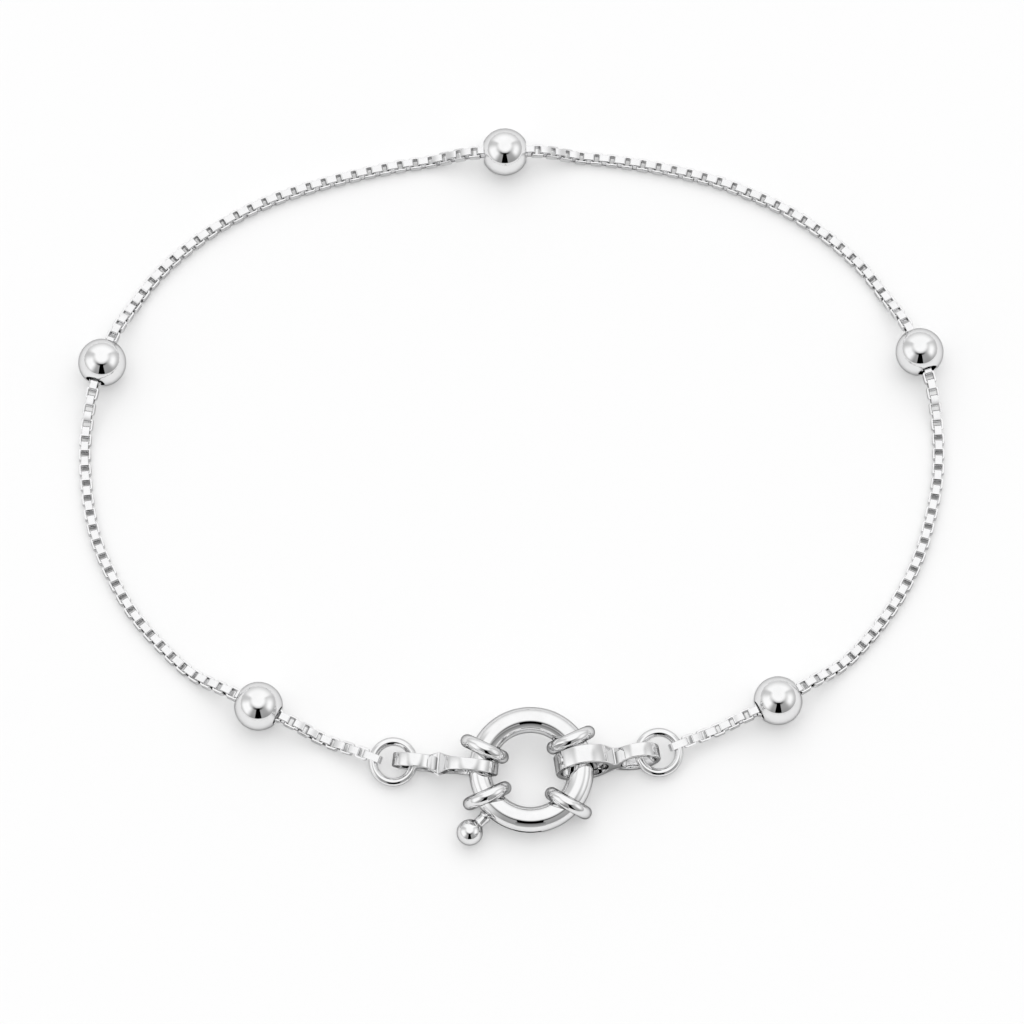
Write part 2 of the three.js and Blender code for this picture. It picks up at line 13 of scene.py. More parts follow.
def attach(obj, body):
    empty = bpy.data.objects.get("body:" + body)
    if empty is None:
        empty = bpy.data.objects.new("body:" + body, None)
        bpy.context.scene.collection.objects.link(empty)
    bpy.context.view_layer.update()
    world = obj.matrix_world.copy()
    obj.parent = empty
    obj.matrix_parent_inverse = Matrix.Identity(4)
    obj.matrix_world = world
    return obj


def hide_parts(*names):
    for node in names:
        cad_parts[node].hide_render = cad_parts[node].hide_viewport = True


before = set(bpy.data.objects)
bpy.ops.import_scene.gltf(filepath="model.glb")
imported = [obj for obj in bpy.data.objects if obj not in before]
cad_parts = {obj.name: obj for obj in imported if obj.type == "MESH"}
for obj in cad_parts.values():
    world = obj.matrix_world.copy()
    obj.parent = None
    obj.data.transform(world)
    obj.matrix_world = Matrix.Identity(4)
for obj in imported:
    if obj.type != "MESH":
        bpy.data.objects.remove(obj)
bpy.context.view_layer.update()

# Box chain: square links of flat silver strip, each turned a quarter from the last one,
# closed with solder and filed flat. It lies on the surface from jump ring to jump ring,
# climbs through every bead, and ends in a wider link round each jump ring's wire.
mm = 0.001
loop_width, loop_depth = 70.8, 54.8
laid_at = Vector((-0.01747, -0.00544, 0.00429))
chain_width, link_length, strip_thickness, strip_width = 1.0, 1.0, 0.17, 0.6
end_strip_thickness, end_link_reach = 0.19, 0.48
bend_radius, strip_edge = 0.185, 0.028
bead_radius = 2.0
bead_slope, end_slope, end_straight = 5.0, 4.5, 0.9
ring_radius, ring_wire, ring_tilt = 1.65, 0.35, math.radians(16)
ring_places = {
    "left": Vector((-9.59021, -24.28383, 1.27727)),
    "right": Vector((12.05076, -23.48023, 1.28748)),
}
chain_on_ring = {"left": math.radians(167), "right": math.radians(22)}
# The chain's route on the surface, in shares of the loop's width and depth.
chain_route = [
    (-0.2175, -0.4051), (-0.2910, -0.3604), (-0.3658, -0.3047), (-0.4025, -0.2609),
    (-0.4393, -0.2044), (-0.4661, -0.1423), (-0.4859, -0.0785), (-0.4972, 0.0036),
    (-0.4986, 0.0821), (-0.4809, 0.1889), (-0.4463, 0.2901), (-0.4153, 0.3467),
    (-0.3771, 0.3942), (-0.3362, 0.4325), (-0.2910, 0.4635), (-0.2444, 0.4863),
    (-0.1723, 0.5128), (-0.0960, 0.5310), (-0.0071, 0.5365), (0.0763, 0.5383), (0.1568, 0.5255),
    (0.2359, 0.5018), (0.2839, 0.4781), (0.3263, 0.4507), (0.3658, 0.4161), (0.3997, 0.3777),
    (0.4308, 0.3303), (0.4816, 0.2062), (0.5000, 0.1077), (0.5000, 0.0146), (0.4901, -0.0529),
    (0.4746, -0.1186), (0.4492, -0.1843), (0.4167, -0.2427), (0.3842, -0.2865),
    (0.3086, -0.3522), (0.2486, -0.3869),
]
beaded_points = [1, 9, 18, 27, 35]
points_a_stop = 60
turn_of_rings = Matrix.Rotation(ring_tilt, 3, "X")
ring_normal = turn_of_rings @ Vector((0, 0, 1))


def point_on_ring(side, angle):
    """Middle of the jump ring's wire at an angle round the ring."""
    return ring_places[side] + turn_of_rings @ (Vector((math.cos(angle), math.sin(angle), 0)) * ring_radius)


def curve_through(points, steps):
    """A smooth curve through the points, as close points."""
    run = []
    for i in range(steps + 1):
        place = (len(points) - 1) * i / steps
        k = min(int(place), len(points) - 2)
        w = place - k
        p1, p2 = points[k], points[k + 1]
        p0 = points[k - 1] if k else 2 * p1 - p2
        p3 = points[k + 2] if k + 2 < len(points) else 2 * p2 - p1
        d0, d1, d2 = (math.sqrt((b - a).length) for a, b in ((p0, p1), (p1, p2), (p2, p3)))
        leave = ((p1 - p0) / d0 - (p2 - p0) / (d0 + d1) + (p2 - p1) / d1) * d1
        arrive = ((p2 - p1) / d1 - (p3 - p1) / (d1 + d2) + (p3 - p2) / d2) * d1
        run.append(
            p1 + leave * w
            + (3 * (p2 - p1) - 2 * leave - arrive) * w**2
            + (2 * (p1 - p2) + leave + arrive) * w**3
        )
    return np.array([tuple(p) for p in run])


def share_of_lift(distance, straight, slope):
    """How much of its height the chain still has at a distance from what lifts it."""
    along = np.clip((distance - straight) / slope, 0, 1)
    return (1 + np.cos(np.pi * along)) / 2


def length_along(run):
    """Length of the run up to each of its points."""
    return np.concatenate([[0], np.cumsum(np.linalg.norm(np.diff(run, axis=0), axis=1))])


chain_ends = [point_on_ring(side, chain_on_ring[side]) - laid_at for side in ("left", "right")]
route = [Vector((x * loop_width, y * loop_depth, 0)) for x, y in chain_route]
stops = [chain_ends[0].to_2d().to_3d(), *route, chain_ends[1].to_2d().to_3d()]
chain_line = curve_through(stops, points_a_stop * len(stops))
flat_length = length_along(chain_line)
bead_marks = [
    int(np.argmin(np.linalg.norm(chain_line - np.array(route[i]), axis=1))) for i in beaded_points
]
rest_height = chain_width / 2
chain_line[:, 2] = rest_height
chain_line[:, 2] += (chain_ends[0].z - rest_height) * share_of_lift(flat_length, end_straight, end_slope)
chain_line[:, 2] += (chain_ends[1].z - rest_height) * share_of_lift(
    flat_length[-1] - flat_length, end_straight, end_slope
)
for mark in bead_marks:
    lift = share_of_lift(np.abs(flat_length - flat_length[mark]), bead_radius, bead_slope)
    chain_line[:, 2] += (bead_radius - rest_height) * lift
chain_length = length_along(chain_line)


def chain_frame(along):
    """Point, direction and upward side of the chain at a length along it."""
    near, last = 5, len(chain_line) - 1
    i = int(np.clip(np.searchsorted(chain_length, along), 1, last))
    between = (along - chain_length[i - 1]) / (chain_length[i] - chain_length[i - 1])
    point = Vector(chain_line[i - 1]).lerp(Vector(chain_line[i]), between)
    forward = Vector(chain_line[min(last, i + near)] - chain_line[max(0, i - 1 - near)]).normalized()
    share = share_of_lift(min(along, chain_length[-1] - along), end_straight, end_slope)
    left = Vector((0, 0, 1)).lerp(ring_normal, float(share)).cross(forward).normalized()
    return point + laid_at, forward.cross(left)


def strip_loop(half_length, half_height, thickness):
    """One link: a flat strip bent to a square loop with round corners and eased edges."""
    bend_steps, corners = 5, []
    section = [
        (0, -strip_width / 2 + strip_edge),
        (0, strip_width / 2 - strip_edge),
        (strip_edge, strip_width / 2),
        (thickness - strip_edge, strip_width / 2),
        (thickness, strip_width / 2 - strip_edge),
        (thickness, -strip_width / 2 + strip_edge),
        (thickness - strip_edge, -strip_width / 2),
        (strip_edge, -strip_width / 2),
    ]
    for quarter, (along, across) in enumerate(((1, 1), (-1, 1), (-1, -1), (1, -1))):
        for step in range(bend_steps + 1):
            angle = math.pi / 2 * (quarter + step / bend_steps)
            for depth, beside in section:
                reach = bend_radius - depth
                corners.append((
                    along * (half_length - bend_radius) + reach * math.cos(angle),
                    across * (half_height - bend_radius) + reach * math.sin(angle),
                    beside,
                ))
    sides, stations = len(section), len(corners) // len(section)
    faces = []
    for i in range(stations):
        for j in range(sides):
            a, b, j2 = i * sides, (i + 1) % stations * sides, (j + 1) % sides
            faces.append((a + j, b + j, b + j2, a + j2))
    return np.array(corners), np.array(faces)


def lay_piece(name, corners, faces, material, body, node, edge_angle=32):
    """Makes one silver piece in its place on the part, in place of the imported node."""
    shape = bpy.data.meshes.new(name)
    places = [tuple(c) for c in np.asarray(corners) * mm]
    shape.from_pydata(places, [], [tuple(int(i) for i in f) for f in faces])
    shape.validate()
    shape.polygons.foreach_set("use_smooth", [True] * len(shape.polygons))
    shape.set_sharp_from_angle(angle=math.radians(edge_angle))
    shape.materials.append(material)
    piece = bpy.data.objects.new(name, shape)
    bpy.context.scene.collection.objects.link(piece)
    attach(piece, body)
    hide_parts(node)
    return piece


def silver_finish(name, tone, polish, wave, grain, rim=0.22):
    """Polished silver: a mirror with faint waves from the buff and fine, soft scratches, and its rims
    painted darker.
    """
    material = bpy.data.materials.new(name)
    material.use_nodes = True
    nodes, links = material.node_tree.nodes, material.node_tree.links
    metal = nodes["Principled BSDF"]
    metal.inputs["Metallic"].default_value = 1.0
    # Specular Tint below white greys the reflection at grazing angles: painted shade, a dark outline round
    # every edge of the silver.
    metal.inputs["Specular Tint"].default_value = (rim, rim, rim, 1)
    place = nodes.new("ShaderNodeTexCoord")

    def cloud(scale, detail, stretch=(1, 1, 1)):
        laid = nodes.new("ShaderNodeMapping")
        laid.inputs["Scale"].default_value = stretch
        links.new(place.outputs["Object"], laid.inputs["Vector"])
        noise = nodes.new("ShaderNodeTexNoise")
        noise.inputs["Scale"].default_value = scale
        noise.inputs["Detail"].default_value = detail
        links.new(laid.outputs["Vector"], noise.inputs["Vector"])
        return noise.outputs["Fac"]

    def relief(height, depth):
        bump = nodes.new("ShaderNodeBump")
        bump.inputs["Strength"].default_value = 1.0
        bump.inputs["Distance"].default_value = depth * mm
        links.new(height, bump.inputs["Height"])
        return bump

    dullest, rougher_by = 0.955, 0.035
    bloom = nodes.new("ShaderNodeValToRGB")
    bloom.color_ramp.elements[0].position = 0.35
    bloom.color_ramp.elements[0].color = (*(dullest * c for c in tone), 1)
    bloom.color_ramp.elements[1].position = 0.65
    bloom.color_ramp.elements[1].color = (*tone, 1)
    links.new(cloud(scale=900, detail=3), bloom.inputs["Fac"])
    links.new(bloom.outputs["Color"], metal.inputs["Base Color"])
    rubbed = nodes.new("ShaderNodeMapRange")
    rubbed.inputs["From Min"].default_value, rubbed.inputs["From Max"].default_value = 0.3, 0.7
    rubbed.inputs["To Min"].default_value = polish
    rubbed.inputs["To Max"].default_value = polish + rougher_by
    links.new(cloud(scale=5200, detail=4, stretch=(1, 0.25, 0.6)), rubbed.inputs["Value"])
    links.new(rubbed.outputs["Result"], metal.inputs["Roughness"])
    waves = relief(cloud(scale=700, detail=2), wave)
    scratches = relief(cloud(scale=16000, detail=3, stretch=(1, 0.18, 0.5)), grain)
    links.new(waves.outputs["Normal"], scratches.inputs["Normal"])
    links.new(scratches.outputs["Normal"], metal.inputs["Normal"])
    return material


end_inner = end_link_reach + strip_thickness
plain_length = chain_length[-1] - 2 * end_inner
# An odd number of plain links, so that both end links stand the same way.
plain_links = 2 * round((plain_length / (link_length - 2 * strip_thickness) - 1) / 2) + 1
joins = [-end_link_reach]
joins += [end_inner + plain_length * i / plain_links for i in range(plain_links + 1)]
joins += [chain_length[-1] + end_link_reach]
climb_share = 0.75  # a link on a climb hangs a little flatter than the climb itself
loose_by = 0.8  # degrees that a link may lean to either side
middle_join = next(i for i, at in enumerate(joins) if at >= chain_length[bead_marks[2]])
chain_silver = silver_finish("filed_chain_silver", (0.94, 0.94, 0.945), 0.05, 0.0012, 0.0004, 0.7)
play = random.Random(11)
join_frames = [chain_frame(at) for at in joins]
for side, first, last in (("left", 0, middle_join), ("right", middle_join, len(joins) - 1)):
    corners, faces, count = [], [], 0
    for k in range(first, last):
        (a, up_a), (b, up_b) = join_frames[k], join_frames[k + 1]
        widest = k in (0, len(joins) - 2)
        thickness = end_strip_thickness if widest else strip_thickness
        half_height = end_link_reach + thickness if widest else chain_width / 2
        half_length = (b - a).length / 2 + thickness
        forward = b - a
        if not widest:
            forward.z *= climb_share
        forward.normalize()
        left = (up_a + up_b).cross(forward).normalized()
        up = forward.cross(left)
        if not widest:
            lean = Matrix.Rotation(math.radians(play.uniform(-loose_by, loose_by)), 3, forward)
            left, up = lean @ left, lean @ up
        height, width = (up, -left) if k % 2 == 0 else (left, up)
        loop, loop_faces = strip_loop(half_length, half_height, thickness)
        corners.append(loop @ np.array([forward, height, width]) + np.array((a + b) / 2))
        faces.append(loop_faces + count)
        count += len(loop)
    lay_piece(
        f"chain_{side}_links", np.concatenate(corners), np.concatenate(faces),
        chain_silver, "bracelet", f"chain_{side}",
    )

# Round beads: hollow balls of sheet silver, drilled right through and polished to a
# mirror. The edge of each hole is turned in softly, and the chain is threaded through.
hole_radius, hole_edge = 0.797, 0.09
bead_sides, hole_depth, bead_inset = 96, 1.0, 0.006
# Each bead: its place on the surface, and the turn that lines its hole up with the chain.
bead_places = {
    "bead_1": (-20.60223, -19.75291, 62.863),
    "bead_2": (-34.02442, 10.35456, -18.114),
    "bead_3": (-0.52035, 29.40083, -88.122),
    "bead_4": (34.02905, 11.30076, 200.805),
    "bead_5": (21.80085, -19.27612, 118.325),
}
bead_height = 2.0042
bead_silver = silver_finish("mirror_bead_silver", (0.955, 0.955, 0.958), 0.012, 0.0007, 0.00012, 0.5)


def turned(profile, around):
    """A shape turned on the lathe about Y: profile points are (distance from Y, along Y)."""
    corners, faces = [], []
    for step in range(around):
        angle = 2 * math.pi * step / around
        out_x, out_z = math.sin(angle), math.cos(angle)
        corners += [(radius * out_x, along, radius * out_z) for radius, along in profile]
    rows = len(profile)
    for step in range(around):
        a, b = step * rows, (step + 1) % around * rows
        faces += [(a + i, b + i, b + i + 1, a + i + 1) for i in range(rows - 1)]
    return np.array(corners), faces


def drilled_ball(radius):
    """Half profile of a ball with a hole, from the middle of the hole over the ball and back."""
    edge_steps, ball_steps = 6, 60
    turned_in = 1.6 * hole_edge
    side = [(hole_radius, 0.0), (hole_radius, hole_depth)]
    rim = math.asin(hole_radius / radius)
    soft = rim + turned_in / radius
    start = (hole_radius, radius * math.cos(rim) - turned_in)
    corner = (hole_radius, radius * math.cos(rim))
    end = (radius * math.sin(soft), radius * math.cos(soft))
    for step in range(edge_steps + 1):
        w = step / edge_steps
        side.append(tuple(
            (1 - w) ** 2 * start[i] + 2 * w * (1 - w) * corner[i] + w**2 * end[i] for i in (0, 1)
        ))
    over = [soft + (math.pi - 2 * soft) * i / ball_steps for i in range(1, ball_steps)]
    ball = [(radius * math.sin(t), radius * math.cos(t)) for t in over]
    return side + ball + [(r, -y) for r, y in reversed(side)]


for name, (x, y, turn) in bead_places.items():
    corners, faces = turned(drilled_ball(bead_radius - bead_inset), bead_sides)
    stand = np.array(Matrix.Rotation(math.radians(turn), 3, "Z"))
    corners = corners @ stand.T + np.array((x, y, bead_height))
    lay_piece(f"{name}_ball", corners, faces, bead_silver, "bracelet", name, edge_angle=60)

# Jump rings: round silver wire, bent to a ring, sawn and soldered shut. The seam is a
# faint notch in the wire. Each ring leans in the connector's small eye.
ring_silver = silver_finish("wire_ring_silver", (0.94, 0.94, 0.943), 0.02, 0.0008, 0.0002)
ring_seams = {"left": math.radians(8), "right": math.radians(196)}
seam_depth, seam_width, seam_step = 0.012, 0.022, 0.45
ring_steps, wire_sides, ring_inset = 150, 32, 0.0005


def wire_hoop(radius, wire, angles, notch_at=None):
    """A hoop of round wire, with a shallow notch where its ends meet."""
    corners = []
    for angle in angles:
        thin = wire
        if notch_at is not None:
            off = (angle - notch_at + math.pi) % (2 * math.pi) - math.pi
            thin -= seam_depth * math.exp(-((off * radius / seam_width) ** 2))
        for j in range(wire_sides):
            around = 2 * math.pi * j / wire_sides
            reach = radius + thin * math.cos(around)
            corners.append((reach * math.cos(angle), reach * math.sin(angle), thin * math.sin(around)))
    count, faces = len(angles), []
    for i in range(count):
        for j in range(wire_sides):
            a, b, j2 = i * wire_sides, (i + 1) % count * wire_sides, (j + 1) % wire_sides
            faces.append((a + j, b + j, b + j2, a + j2))
    return np.array(corners), faces


for side, place in ring_places.items():
    seam = ring_seams[side]
    angles = sorted(
        {2 * math.pi * i / ring_steps for i in range(ring_steps)}
        | {(seam + math.radians(seam_step * i)) % (2 * math.pi) for i in range(-6, 7)}
    )
    corners, faces = wire_hoop(ring_radius, ring_wire - ring_inset, angles, seam)
    corners = corners @ np.array(turn_of_rings).T + np.array(place)
    lay_piece(
        f"jump_ring_{side}_wire", corners, faces,
        ring_silver, "bracelet", f"jump_ring_{side}", edge_angle=60,
    )

# Figure-eight connectors: cast silver bands with a large and a small eye that meet in a
# pinched waist. Their edges are eased and the notch of the waist is left crisp.
large_eye, large_wall = 2.375, 0.45
small_eye, small_wall = 1.85, 0.42
waist_length, waist_height, waist_spread = 0.2, 1.3, math.radians(38)
eye_spacing = large_eye + waist_length + small_eye
waist_at = large_eye + waist_length / 2
edge_round, waist_round, half_blank = 0.08, 0.12, 0.5
# Each connector: its place, heading and lean, and the band's width at the large eye, the
# waist and the small eye.
connector_places = {
    "left": (Vector((-3.3553, -24.55964, 0.11229)), 174, -12, (1.0, 1.85, 1.1)),
    "right": (Vector((5.90499, -24.66744, -0.0022)), 9, 0, (1.5, 1.5, 1.15)),
}
connector_silver = silver_finish("cast_connector_silver", (0.94, 0.94, 0.943), 0.025, 0.002, 0.00025)


def eye_arc(centre_x, centre_z, radius, start, end, steps):
    """Points on an arc of an eye, both ends included."""
    angles = [start + (end - start) * i / steps for i in range(steps + 1)]
    return [(centre_x + radius * math.cos(t), centre_z + radius * math.sin(t)) for t in angles]


def eased_corner(before, corner, after, reach):
    """A corner of the outline, rounded a little."""
    before, corner, after = Vector(before), Vector(corner), Vector(after)
    start = corner + (before - corner).normalized() * reach
    end = corner + (after - corner).normalized() * reach
    shares = (0, 0.2, 0.4, 0.6, 0.8, 1)
    return [tuple((1 - w) ** 2 * start + 2 * w * (1 - w) * corner + w**2 * end) for w in shares]


def connector_outlines():
    """Outer line of the figure eight and the lines of its two eyes, in its own plane."""
    middle = (large_eye + small_eye) / 2
    big = eye_arc(0, large_eye, large_eye, waist_spread, 2 * math.pi - waist_spread, 96)
    little = eye_arc(eye_spacing, small_eye, small_eye, waist_spread - math.pi, math.pi - waist_spread, 80)
    low = eased_corner(big[-1], (waist_at, middle - waist_height / 2), little[0], waist_round)
    high = eased_corner(little[-1], (waist_at, middle + waist_height / 2), big[0], waist_round)
    return [
        big + low + little + high,
        eye_arc(0, large_eye, large_eye - large_wall, 0, 2 * math.pi, 90)[:-1],
        eye_arc(eye_spacing, small_eye, small_eye - small_wall, 0, 2 * math.pi, 72)[:-1],
    ]


for side, (place, heading, lean, (large_band, waist_band, small_band)) in connector_places.items():
    cut = bpy.data.curves.new(f"connector_{side}_cut", "CURVE")
    cut.dimensions, cut.fill_mode = "2D", "BOTH"
    cut.extrude, cut.offset = half_blank - edge_round, -edge_round
    cut.bevel_depth, cut.bevel_resolution = edge_round, 3
    for outline in connector_outlines():
        spline = cut.splines.new("POLY")
        spline.points.add(len(outline) - 1)
        for point, (x, z) in zip(spline.points, outline):
            point.co = (x, z, 0, 1)
        spline.use_cyclic_u = True
    blank = bpy.data.objects.new(cut.name, cut)
    bpy.context.scene.collection.objects.link(blank)
    bpy.context.view_layer.update()
    solid = blank.evaluated_get(bpy.context.evaluated_depsgraph_get()).to_mesh()
    corners = np.array([v.co for v in solid.vertices])
    faces = [tuple(p.vertices) for p in solid.polygons]
    bpy.data.objects.remove(blank)
    beyond = corners[:, 0] - waist_at
    flare = np.where(
        beyond < 0,
        np.interp(-beyond, [0, 0.25, 0.6, 1.0, 1.5], [1, 0.62, 0.3, 0.1, 0]),
        np.interp(beyond, [0, 0.3, 0.6, 0.9], [1, 0.6, 0.15, 0]),
    )
    eye_band = np.where(beyond < 0, large_band, small_band)
    band = eye_band + flare * (waist_band - eye_band)
    across = np.sign(corners[:, 2]) * (band / 2 - (half_blank - np.abs(corners[:, 2])))
    standing = np.stack([corners[:, 0], -across, corners[:, 1]], axis=1)
    stand = Matrix.Rotation(math.radians(heading), 3, "Z") @ Matrix.Rotation(math.radians(lean), 3, "X")
    placed = standing @ np.array(stand).T + np.array(place)
    placed[:, 2] = np.maximum(placed[:, 2], 0.001)  # clear of the surface by a hair
    piece = lay_piece(
        f"connector_{side}_band", placed, faces,
        connector_silver, "bracelet", f"connector_{side}", edge_angle=35,
    )
    level = piece.modifiers.new("even_flats", "WEIGHTED_NORMAL")
    level.keep_sharp = True
    level.weight = 90

# Clasp ring: drawn silver tube, bent to a ring with a gap and slotted for the trigger.
# Four collars of round wire are soldered on, and the solder leaves a small fillet.
clasp_centre, clasp_radius, clasp_tilt = Vector((1.58261, -25.3066, 2.32109)), 4.1, 10
tube_radius, bore_radius, bow_radius, collar_wire = 1.05, 0.95, 0.9, 0.56
solder_depth, solder_height, solder_reach, solder_fade = 0.06, 0.045, 0.2, 0.085
collar_radius = tube_radius + collar_wire - solder_depth
gap_start, gap_end, trigger_from_gap = 157, -149, 15
trigger_angle, bow_travel, slot_half = gap_end + trigger_from_gap, 50, 0.35
slot_past = math.degrees(slot_half / (clasp_radius + bow_radius))
# Each collar: its angle round the ring, and how far its hoop is turned and leans.
collars = [(155.2, 0, 8), (36.8, -13, 8), (-41.5, 12, 8), (-149, -7, 8)]
clasp_silver = silver_finish("drawn_clasp_silver", (0.945, 0.945, 0.948), 0.018, 0.001, 0.0002)
clasp_turn = Matrix.Rotation(math.radians(clasp_tilt), 3, "X")
hoop_steps, collar_inset = 96, 0.001


def collar_frame(at, turn, lean):
    """Middle of a collar and its turn, in the ring's own plane."""
    spin = (
        Matrix.Rotation(math.radians(lean), 3, "X")
        @ Matrix.Rotation(math.radians(at + turn), 3, "Z")
        @ Matrix.Rotation(math.pi / 2, 3, "X")
    )
    middle = Vector((math.cos(math.radians(at)), math.sin(math.radians(at)), 0)) * clasp_radius
    return middle, spin


def tube_point(angle, around, radius):
    """Point on the tube: an angle round the ring, and an angle round the tube from outward."""
    a, b = math.radians(angle), math.radians(around)
    reach = clasp_radius + radius * math.cos(b)
    return Vector((reach * math.cos(a), reach * math.sin(a), radius * math.sin(b)))


def solder_rise(point, frames):
    """How far the solder stands off the tube near a collar."""
    rise, beside = 0.0, 2
    for middle, spin in frames:
        if (point - middle).length < beside:
            off = abs((point - middle).dot(spin @ Vector((0, 0, 1))))
            fall = max(0.0, off - solder_reach) / solder_fade
            rise = max(rise, solder_height * math.exp(-(fall**2)))
    return rise


def slotted_tube():
    """The hollow ring: an outer and an inner skin, joined at both ends and round the slot."""
    pitch, end_length, end_ease = 0.9, 0.35, 0.02
    slot_steps, round_steps = 6, 42
    frames = [collar_frame(*c) for c in collars]
    slot_from, slot_to = trigger_angle - slot_past, trigger_angle + bow_travel + slot_past
    stations = sorted(
        set(np.round(np.arange(gap_end, gap_start + 0.01, pitch), 4))
        | {gap_end + end_length, gap_start - end_length, float(gap_start)}
        | {round(slot_from, 4), round(slot_to, 4)}
    )
    edges = [math.degrees(math.asin(slot_half / r)) for r in (tube_radius, bore_radius)]
    rounds = []
    for edge in edges:
        inside = [edge * (2 * i / slot_steps - 1) for i in range(slot_steps + 1)]
        outside = [edge + (360 - 2 * edge) * i / round_steps for i in range(1, round_steps)]
        rounds.append(inside + outside)
    sides = len(rounds[0])
    corners, faces = [], []
    for n, angle in enumerate(stations):
        last = n in (0, len(stations) - 1)
        for skin, radius in enumerate((tube_radius, bore_radius)):
            for around in rounds[skin]:
                point = tube_point(angle, around, radius - (end_ease if last and not skin else 0))
                if not skin and not last:
                    point = tube_point(angle, around, radius + solder_rise(point, frames))
                corners.append(tuple(point))

    def at(n, skin, j):
        return (2 * n + skin) * sides + j % sides

    open_stations = [slot_from - 1e-3 <= s <= slot_to + 1e-3 for s in stations]
    for n in range(len(stations) - 1):
        slotted = open_stations[n] and open_stations[n + 1]
        for j in range(sides):
            if slotted and j < slot_steps:
                continue
            faces.append((at(n, 0, j), at(n + 1, 0, j), at(n + 1, 0, j + 1), at(n, 0, j + 1))[::-1])
            faces.append((at(n, 1, j), at(n + 1, 1, j), at(n + 1, 1, j + 1), at(n, 1, j + 1)))
        if slotted:
            for j, way in ((0, 1), (slot_steps, -1)):
                faces.append((at(n, 0, j), at(n + 1, 0, j), at(n + 1, 1, j), at(n, 1, j))[::way])
    slot_ends = (open_stations.index(True), len(stations) - 1 - open_stations[::-1].index(True))
    for n in slot_ends:
        for j in range(slot_steps):
            face = (at(n, 0, j), at(n, 0, j + 1), at(n, 1, j + 1), at(n, 1, j))
            faces.append(face if n == slot_ends[0] else face[::-1])
    for n in (0, len(stations) - 1):
        for j in range(sides):
            face = (at(n, 0, j), at(n, 0, j + 1), at(n, 1, j + 1), at(n, 1, j))
            faces.append(face[::-1] if n == 0 else face)
    return np.array(corners), faces


def on_clasp(corners):
    """Sets the clasp on the surface, with the collars' undersides flat on it."""
    placed = np.asarray(corners) @ np.array(clasp_turn).T + np.array(clasp_centre)
    placed[:, 2] = np.maximum(placed[:, 2], 0.002)
    return placed


corners, faces = slotted_tube()
whole_hoop = [2 * math.pi * i / hoop_steps for i in range(hoop_steps)]
for middle, spin in (collar_frame(*c) for c in collars):
    hoop, hoop_faces = wire_hoop(collar_radius, collar_wire - collar_inset, whole_hoop)
    hoop = hoop @ np.array(spin).T + np.array(middle)
    faces += [tuple(i + len(corners) for i in f) for f in hoop_faces]
    corners = np.concatenate([corners, hoop])
lay_piece(
    "clasp_ring_tube", on_clasp(corners), faces,
    clasp_silver, "bracelet", "clasp_body", edge_angle=40,
)

# Bow: the curved rod that closes the gap. A spring in the tube holds it shut, and its
# trigger, a turned post with a ball, is screwed on through the slot.
in_socket, past_trigger, end_ease = 4, 30, 0.08
bow_tip, bow_tail = gap_start - in_socket, trigger_angle + past_trigger + 360
# Half of the trigger's post, as turned: radius, and distance from the ring's middle.
post_profile = [
    (0.0, 4.3), (0.3, 4.3), (0.3, 5.21), (0.49, 5.21), (0.53, 5.24), (0.535, 5.29), (0.51, 5.34),
    (0.49, 5.38), (0.475, 5.5), (0.46, 5.7), (0.45, 5.9), (0.45, 6.03), (0.46, 6.11),
]
ball_radius, ball_reach, ball_steps, ball_joint, post_sides = 1.064, 7.1, 40, 0.47, 64
bow_silver = silver_finish("bow_silver", (0.95, 0.95, 0.953), 0.016, 0.001, 0.0002)
rod_sides, rod_steps = 48, 96
corners, faces = [], []
for step in range(rod_steps + 1):
    angle = bow_tip + (bow_tail - bow_tip) * step / rod_steps
    radius = bow_radius - (end_ease if step in (0, rod_steps) else 0)
    corners += [tuple(tube_point(angle, 360 * j / rod_sides, radius)) for j in range(rod_sides)]
for step in range(rod_steps):
    for j in range(rod_sides):
        a, b, j2 = step * rod_sides, (step + 1) * rod_sides, (j + 1) % rod_sides
        faces.append((a + j, a + j2, b + j2, b + j))
faces.append(tuple(range(rod_sides))[::-1])
faces.append(tuple(rod_steps * rod_sides + j for j in range(rod_sides)))
joint = math.asin(ball_joint / ball_radius)
ball_profile = [
    (ball_radius * math.sin(t), ball_reach - ball_radius * math.cos(t))
    for t in (joint + (math.pi - joint) * i / ball_steps for i in range(1, ball_steps))
]
ball_top = (0.0, ball_reach + ball_radius)
trigger, trigger_faces = turned(post_profile + ball_profile + [ball_top], post_sides)
swing = np.array(Matrix.Rotation(math.radians(trigger_angle - 90), 3, "Z"))
faces += [tuple(i + len(corners) for i in f) for f in trigger_faces]
corners = np.concatenate([np.array(corners), trigger @ swing.T])
lay_piece(
    "clasp_bow_rod", on_clasp(corners), faces,
    bow_silver, "bow", "clasp_bow", edge_angle=40,
)
